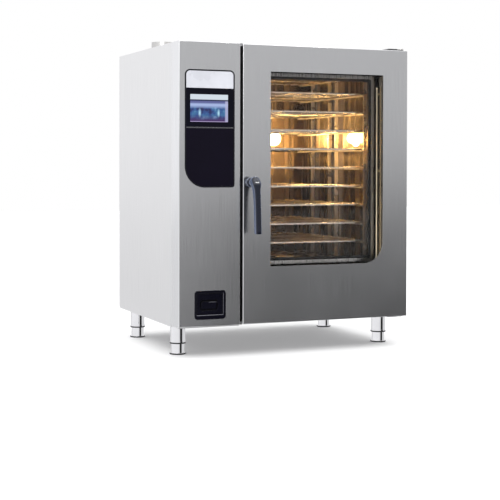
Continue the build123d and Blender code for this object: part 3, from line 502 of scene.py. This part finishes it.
# Bands of the display: across which axis, strength before and after the border, where the
# border starts and ends as a share of the display, colour.
DISPLAY_SKY = (("Z", (0.0, 0.95), (0.48, 0.60), (0.42, 0.52, 0.84)),
               ("Z", (0.0, 0.9), (0.64, 0.70), (0.07, 0.075, 0.26)))
DISPLAY_EDGES = (("Z", (0.95, 0.0), (0.06, 0.26), (0.05, 0.008, 0.10)),
                 ("X", (0.0, 0.8), (0.91, 0.94), (0.50, 0.50, 0.74)),
                 ("Z", (0.8, 0.0), (0.015, 0.03), (0.55, 0.45, 0.75)),
                 ("Z", (0.0, 1.0), (0.755, 0.765), (0.004, 0.008, 0.06)),
                 ("Z", (0.0, 1.0), (0.805, 0.815), (0.70, 0.78, 0.86)))
# Glows of the display: where they are as shares of its width and height, reach, colour.
DISPLAY_GLOWS = ((0.25, 0.32, 0.10, (0.48, 0.80, 1.0)), (0.75, 0.32, 0.09, (0.50, 0.84, 1.0)))
GLOW_SHAPE = (2.2, 0, 0.5)  # how fast a glow fades along each axis
GLOW_CORE = 0.01


def display_material(x, z):
    """A lit display: a pale bar over an abstract blue picture that darkens to a violet foot."""
    n = Finish("display_picture", Roughness=0.12, Emission_Strength=0.9,
               Base_Color=(0.01, 0.01, 0.015, 1))
    place = n.mapped("TEXTURE", Location=(x[0], 0, z[0]), Scale=(x[1] - x[0], 1, z[1] - z[0]))
    axes = n.add("ShaderNodeSeparateXYZ", {0: place}).outputs

    def scaled(factors):
        node = n.add("ShaderNodeVectorMath", {0: place, 1: factors}, operation="MULTIPLY")
        return node.outputs[0]

    def banded(picture, bands):
        for axis, strength, border, color in bands:
            picture = n.mix(n.spread(axes[axis], *strength, *border), picture, color)
        return picture

    clouds = n.add("ShaderNodeTexNoise",
                   {"Scale": 5.0, "Detail": 3.0, "Vector": scaled((1, 0, 0.7))})
    picture = banded(n.ramp(clouds.outputs["Fac"], DISPLAY_CLOUDS), DISPLAY_SKY)
    oval = scaled(GLOW_SHAPE)
    for u, v, reach, color in DISPLAY_GLOWS:
        centre = (GLOW_SHAPE[0] * u, 0, GLOW_SHAPE[2] * v)
        away = n.add("ShaderNodeVectorMath", {0: oval, 1: centre}, operation="DISTANCE")
        fade = n.spread(away.outputs["Value"], 1.0, 0.0, GLOW_CORE, reach)
        picture = n.mix(fade, picture, color)
    n.feed("Emission Color", banded(picture, DISPLAY_EDGES))
    return n.material


def make_display():
    """The lit area of the touch screen, inside its black border."""
    left, right, below, above = 14.0 * MM, 19.5 * MM, 16.5 * MM, 20.5 * MM
    x = (screen_low.x + left, screen_high.x - right)
    z = (screen_low.z + below, screen_high.z - above)
    build = bmesh.new()
    block(build, x, z, radius=1.0 * MM, back=screen_low.y + 0.5 * MM,
          front=screen_low.y - 0.12 * MM, steps=3)
    piece("display_picture", mesh_of(build), "cabinet", "screen_glass", display_material(x, z),
          smooth=False)


def make_gap_strip():
    """The rubber strip that fills the depth of the gap between the column and the door.

    Two lips stand in front of its base, one before the other, and are narrower than the base.
    """
    end = 5.5 * MM
    lip_setback = 4 * MM
    x = (fascia_high.x - 10.2 * MM, fascia_high.x - 2.0 * MM)
    z = (fascia_low.z + end, fascia_high.z - end)
    lip_x = (x[0], x[1] - lip_setback)
    depths = ((x, 70.5, 34.0), (lip_x, 30.0, 26.0), (lip_x, 34.0, 30.0))  # behind the door's face
    build = bmesh.new()
    for span, back, front in depths:
        block(build, span, z, radius=1.0 * MM, back=FRONT + back * MM, front=FRONT + front * MM,
              steps=3)
    strip = piece("gap_strip", mesh_of(build), "cabinet", "gasket_rubber")
    bevel(strip, 0.8 * MM, PIECE_CORNER)


def make_pocket_lines():
    """The bright lines of the shower's pocket and grip: painted highlights, lighter grey strips
    where the moulding's edges catch the light.
    """
    head_low, head_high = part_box("shower_head")
    pocket_low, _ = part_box("shower_pocket")
    proud = 0.02 * MM
    around_head = 1.6 * MM
    sill_half, jamb_half, brow_half = 0.9 * MM, 0.35 * MM, 0.5 * MM
    brow_height, brow_ends = 0.60, (0.46, 0.76)  # shares of the head's height and width
    # The lighter grey strips laid on the black moulding are painted highlights of its edges.
    finish = gloss_plastic("painted_edge_highlight", color=(0.13, 0.13, 0.15), roughness=(0.2, 0.3), shine=0.6)
    x, z = grown(head_low, head_high, around_head)
    sill = (x, (z[0] - sill_half, z[0] + sill_half))
    jamb = ((x[1] - jamb_half, x[1] + jamb_half), (z[0] + 2 * MM, z[1]))
    brow_z = head_low.z + brow_height * (head_high.z - head_low.z)
    brow_x = [head_low.x + share * (head_high.x - head_low.x) for share in brow_ends]
    brow = (brow_x, (brow_z - brow_half, brow_z + brow_half))
    for name, body, lines, face in (
            ("pocket_lines", "cabinet", (sill, jamb), pocket_low.y - proud),
            ("grip_line", "shower", (brow,), head_low.y - proud)):
        build = bmesh.new()
        for across, up in lines:
            block(build, across, up, radius=0.3 * MM, back=face + 1.6 * MM, front=face, steps=2)
        piece(name, mesh_of(build), body, "black_plastic", finish)


# ---------------------------------------------------------------- door

LINER_LIP = 12.0 * MM  # how far the lining reaches around the inner pane


def make_window_reveal():
    """The black lining of the window's tunnel, with a polished strip on its hinge side."""
    wall = 0.4 * MM   # how far the lining lies outside the outer pane's edge
    face = -0.2 * MM  # and its visible side inside that edge
    lip_play = 0.6 * MM
    lip_thickness = 0.7 * MM
    sharp = 0.3 * MM
    wall_x, wall_z = grown(glass_low, glass_high, wall)
    face_x, face_z = grown(glass_low, glass_high, face)
    lip_x, lip_z = grown(pane_low, pane_high, LINER_LIP + lip_play)
    front = glass_high.y + 0.2 * MM
    back = liner_high.y - 2.1 * MM
    step = back - lip_thickness
    section = [(wall_x, wall_z, sharp, front), (face_x, face_z, sharp, front),
               (face_x, face_z, sharp, step), (lip_x, lip_z, LINER_LIP, step),
               (lip_x, lip_z, LINER_LIP, back), (wall_x, wall_z, sharp, back)]
    enamel = polished_metal("reveal_enamel", color=(0.035, 0.025, 0.021), roughness=(0.08, 0.16))
    frame_ring("window_reveal", section, "door", "black_gloss", enamel)
    build = bmesh.new()
    strip_x = (face_x[1] - 0.6 * MM, face_x[1] - 0.1 * MM)
    strip_z = (face_z[0] + MM, face_z[1] - MM)
    block(build, strip_x, strip_z, radius=0.2 * MM, back=step - 0.2 * MM, front=front + 0.3 * MM,
          steps=2)
    bright = polished_metal("reveal_bright", color=(0.42, 0.36, 0.28), roughness=(0.02, 0.05))
    piece("reveal_mirror", mesh_of(build), "door", "black_gloss", bright, smooth=False)


def make_glass_seal():
    """The black silicone seal around the inner pane's edge."""
    width = 10.0 * MM
    slope = 1.2 * MM
    overhang = 0.3 * MM
    radius = 5.5 * MM
    back = pane_low.y - 0.05 * MM
    front = back - 1.3 * MM
    edge_x, edge_z = grown(pane_low, pane_high, overhang)
    shoulder_x, shoulder_z = grown(pane_low, pane_high, slope - width)
    inner_x, inner_z = grown(pane_low, pane_high, -width)
    section = [(edge_x, edge_z, radius, back), (edge_x, edge_z, radius, front),
               (shoulder_x, shoulder_z, radius, front), (inner_x, inner_z, radius, back)]
    frame_ring("glass_seal", section, "door", "gasket_rubber")


# ---------------------------------------------------------------- handle

LEVER_LEVELS = (  # millimetres: drop from the top, front and back from the door, half width
    (191.0, 72.6, 53.0, 8.4), (190.0, 74.0, 51.6, 9.8), (184.0, 74.0, 50.6, 10.2),
    (150.0, 72.6, 48.0, 10.2), (110.0, 70.0, 45.0, 10.2), (75.0, 67.2, 41.5, 10.2),
    (52.0, 64.6, 37.0, 10.6), (40.0, 62.8, 32.0, 11.8), (32.0, 61.4, 28.0, 13.8),
    (26.0, 60.2, 26.5, 15.4), (21.0, 57.4, 26.0, 16.0), (14.0, 51.8, 26.0, 15.9),
    (8.0, 47.0, 26.0, 14.2), (3.6, 43.6, 26.4, 10.8), (1.0, 41.2, 27.4, 6.3),
    (0.0, 38.0, 29.5, 2.5))
LEVER_POINTS = 32
SQUARENESS = 0.42  # power that fills an ellipse out towards a rectangle
SPINDLE_COLLAR = in_mm([(9.5, 0), (12.0, 0.6), (12.5, 1.6), (12.5, 20)])
SCREW_CAP = in_mm([(3.0, -2.0), (3.0, 0.2), (2.5, 0.7), (1.3, 0.8), (1.1, -0.6)])
SCREW_SLOPE = (0, -0.78, 0.63)
OUTWARDS = (0, -1, 0)
UP = (0, 0, 1)


def lever_ring(drop, front, back, half):
    """One level of the lever: an ellipse filled out towards a rectangle."""
    middle_y = FRONT - (front + back) / 2 * MM
    depth = (front - back) / 2 * MM
    ring = []
    for index in range(LEVER_POINTS):
        angle = 2 * math.pi * index / LEVER_POINTS
        c, s = math.cos(angle), math.sin(angle)
        ring.append((LEVER_X + half * MM * math.copysign(abs(c) ** SQUARENESS, c),
                     middle_y + depth * math.copysign(abs(s) ** SQUARENESS, s),
                     lever_high.z - drop * MM))
    return ring


def make_lever():
    """The lever: a rounded blade that hangs from a domed head and leans outwards to its foot."""
    build = bmesh.new()
    skin(build, [lever_ring(*level) for level in LEVER_LEVELS])
    turned(build, SPINDLE_COLLAR, (LEVER_X, lever_high.y, SPINDLE_Z), OUTWARDS, segments=48)
    lever = piece("handle_grip", mesh_of(build), "handle", "handle_blue")
    smooth = lever.modifiers.new("smooth", "SUBSURF")
    smooth.levels = smooth.render_levels = 2
    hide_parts("handle_lever")
    screw_place = (LEVER_X, FRONT - 53.6 * MM, lever_high.z - 16.0 * MM)
    turned_piece("handle_screw", SCREW_CAP, screw_place, SCREW_SLOPE, "handle", "black_plastic",
                 segments=24)


def make_rose():
    """The round rose at the foot of the spindle, fixed to the door."""
    reach = boss_high.y - boss_low.y
    radius = (boss_high.x - boss_low.x) / 2
    bore = 6.3 * MM
    dome = ((1, 0), (1, 0.45), (0.985, 0.62), (0.93, 0.78), (0.83, 0.92), (0.7, 1))
    profile = [(radius * across, reach * out) for across, out in dome]
    profile += [(bore, reach), (bore, reach - 1.5 * MM)]
    rose = turned_piece("handle_rose", profile, (BOSS_X, boss_high.y, SPINDLE_Z), OUTWARDS, "door",
                        "handle_blue", segments=64)
    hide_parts("handle_boss")


# ---------------------------------------------------------------- legs

COLLAR_FOOT = 41.5 * MM  # height of the lower end of each leg's collar
# The section of the dark ring that paints the shadow of the gap under the collar: distance from the
# leg's axis, height from the collar's lower end.
COLLAR_SHADOW_RING = in_mm([(24.0, -4.6), (26.6, -4.8), (27.2, -3.8), (27.2, -1.2), (26.6, -0.2),
                     (24.0, 0)])
# The pad's rim: distance outside the foot's flange, height from the floor.
PAD_RIM = in_mm([(-1.5, 0), (0.2, 0.3), (0.5, 2.0), (0.3, 4.4), (-0.6, 4.8)])


def make_pads_and_collar_shadows():
    """A dark ring under each leg's collar, a painted shadow of the gap between tube and foot, and a
    rubber pad under each foot.
    """
    build = bmesh.new()
    for leg in ("front_left", "front_right", "rear_left", "rear_right"):
        low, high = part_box("foot_" + leg)
        middle = (low + high) / 2
        flange = (high.x - low.x) / 2
        pad = [(flange + out, height) for out, height in PAD_RIM]
        turned_piece("foot_pad_" + leg, pad, (middle.x, middle.y, 0), UP, "foot_" + leg + "_body",
                     "gasket_rubber", segments=64)
        turned(build, COLLAR_SHADOW_RING, (middle.x, middle.y, COLLAR_FOOT), UP, segments=64,
               closed=True)
    # Dark rubber rings stand in for the shade in the gap under each collar: a painted shadow.
    piece("collar_shadow_rings", mesh_of(build), "cabinet", "gasket_rubber")


make_trim_line()
make_display()
make_gap_strip()
make_pocket_lines()
make_window_reveal()
make_glass_seal()
make_lever()
make_rose()
make_pads_and_collar_shadows()


# ---------------------------------------------------------------- stage, light and camera

# The studio's brightness by bearing: degrees from straight ahead of the door, positive to its
# right. One row stands above the horizon and one lies below it.
STUDIO_ABOVE = ((-180, 1.0), (-60, 1.0), (-20, 0.70), (10, 0.56), (50, 0.56), (80, 0.9), (180, 1.0))
STUDIO_BELOW = ((-180, 0.72), (-150, 0.82), (-120, 1.0), (-12, 0.95), (8, 0.80), (14.5, 0.7),
                (19, 0.02), (48, 0.01), (54, 0.4), (64, 0.8), (180, 0.72))
BLUE_CAST = 1.02
CEILING = 1.75
GROUND = 0.5
BACKDROP = 1.0

LAMP_COLOR = (1.0, 0.54, 0.14)
LAMP_POWER = 28
LAMP_REACH = 16 * MM  # how far into the chamber a lamp's light stands
LAMP_EDGE = 30 * MM   # how far it stands from the ends of the lenses' box


def make_world():
    """White behind the object for the camera. Reflections and light come from a pale studio.

    The studio is a band of values around the horizon: one row for what stands above it, one for
    what lies below it, and a bright ceiling. A dark stretch in front, to the right, gives the
    door its shade.
    """
    world = bpy.data.worlds.new("studio")
    bpy.context.scene.world = world
    world.use_nodes = True
    world.node_tree.nodes.clear()
    t = Tree(world.node_tree)

    direction = t.add("ShaderNodeTexCoord").outputs["Generated"]
    x, y, z = t.add("ShaderNodeSeparateXYZ", {0: direction}).outputs
    turn = t.calculate("ARCTAN2", x, t.calculate("MULTIPLY", y, -1.0))
    bearing = t.calculate("MULTIPLY_ADD", turn, 1 / (2 * math.pi), 0.5)

    def around(row):
        return t.ramp(bearing, [(degrees / 360 + 0.5, (value, value, value * BLUE_CAST))
                                for degrees, value in row])

    def step(low, high):
        return t.spread(z, 0.0, 1.0, low, high, curve="SMOOTHSTEP")

    band = t.mix(step(-0.050, -0.018), around(STUDIO_BELOW), around(STUDIO_ABOVE))
    roofed = t.mix(step(0.3, 0.9), band, grey(CEILING))
    studio = t.mix(step(-0.5, -0.9), roofed, grey(GROUND))
    seen = t.mix(t.add("ShaderNodeLightPath").outputs["Is Camera Ray"], studio, grey(BACKDROP))
    shade = t.add("ShaderNodeBackground", {"Color": seen})
    t.add("ShaderNodeOutputWorld", {"Surface": shade.outputs["Background"]})


def make_floor():
    """A pale floor that takes the oven's shadow and stays out of its reflections."""
    size = 12.0
    corners = [(-size, -size, 0), (size, -size, 0), (size, size, 0), (-size, size, 0)]
    mesh = bpy.data.meshes.new("floor")
    mesh.from_pydata(corners, [], [(0, 1, 2, 3)])
    floor = bpy.data.objects.new("floor", mesh)
    bpy.context.scene.collection.objects.link(floor)
    n = Finish("floor", Roughness=0.9, Specular_IOR_Level=0.1)
    clouds = n.noise(scale=3, detail=3)
    n.feed("Base Color", n.ramp(clouds, [(0.3, grey(0.93)), (0.7, grey(0.95))]))
    mesh.materials.append(n.material)
    floor.visible_glossy = False


def add_light(name, kind, place, power):
    """A light of one kind at its place."""
    data = bpy.data.lights.new(name, kind)
    data.energy = power
    light = bpy.data.objects.new(name, data)
    light.location = place
    bpy.context.scene.collection.objects.link(light)
    return light


def area_light(name, place, target, size, power):
    """A round lamp of the studio that looks at a target."""
    light = add_light(name, "AREA", place, power)
    light.data.shape = "DISK"
    light.data.size = size
    light.rotation_mode = "QUATERNION"
    light.rotation_quaternion = (Vector(target) - Vector(place)).to_track_quat("-Z", "Y")


def chamber_light(name, place):
    """The light that a chamber lamp sheds, just in front of its lens."""
    light = add_light(name, "POINT", place, LAMP_POWER)
    light.data.shadow_soft_size = 20 * MM
    light.data.color = LAMP_COLOR
    light.visible_camera = False


def make_lights():
    """A key light, a light that shines on the lever's head, and the two chamber lamps."""
    area_light("key", (-2.2, -2.6, 2.9), target=(0, 0, 0.6), size=1.6, power=30)
    lever_head = Vector((LEVER_X, FRONT - 54 * MM, lever_high.z - 18 * MM))
    area_light("head_shine", lever_head + Vector((1.05, -0.83, 2.23)), target=lever_head,
               size=0.36, power=6)
    chamber_light("right_lamp", (lens_high.x - LAMP_REACH, lens_low.y + LAMP_EDGE,
                                 lens_low.z + LAMP_EDGE))
    chamber_light("back_lamp", (lens_low.x + LAMP_EDGE, lens_high.y - LAMP_REACH,
                                lens_high.z - LAMP_EDGE))


def make_camera():
    """The camera stands to the left of the oven, a little above its mid height."""
    yaw, pitch, roll = (math.radians(a) for a in (23.01, 0.883, 0.113))
    to_the_left, in_front, height = 1.7694, 3.7522, 0.6423
    data = bpy.data.cameras.new("camera")
    data.sensor_width = 36.0
    data.lens = 87.7
    data.shift_y = -0.134
    camera = bpy.data.objects.new("camera", data)
    bpy.context.scene.collection.objects.link(camera)
    forward = Vector((math.sin(yaw) * math.cos(pitch), math.cos(yaw) * math.cos(pitch),
                      -math.sin(pitch)))
    lean = Matrix.Rotation(roll, 3, "Z").to_quaternion()
    camera.rotation_mode = "QUATERNION"
    camera.rotation_quaternion = forward.to_track_quat("-Z", "Y") @ lean
    camera.location = (MIDDLE.x - to_the_left, FRONT - in_front, height)
    bpy.context.scene.camera = camera


make_world()
make_floor()
make_camera()
make_lights()
bpy.context.scene.view_settings.view_transform = "Standard"
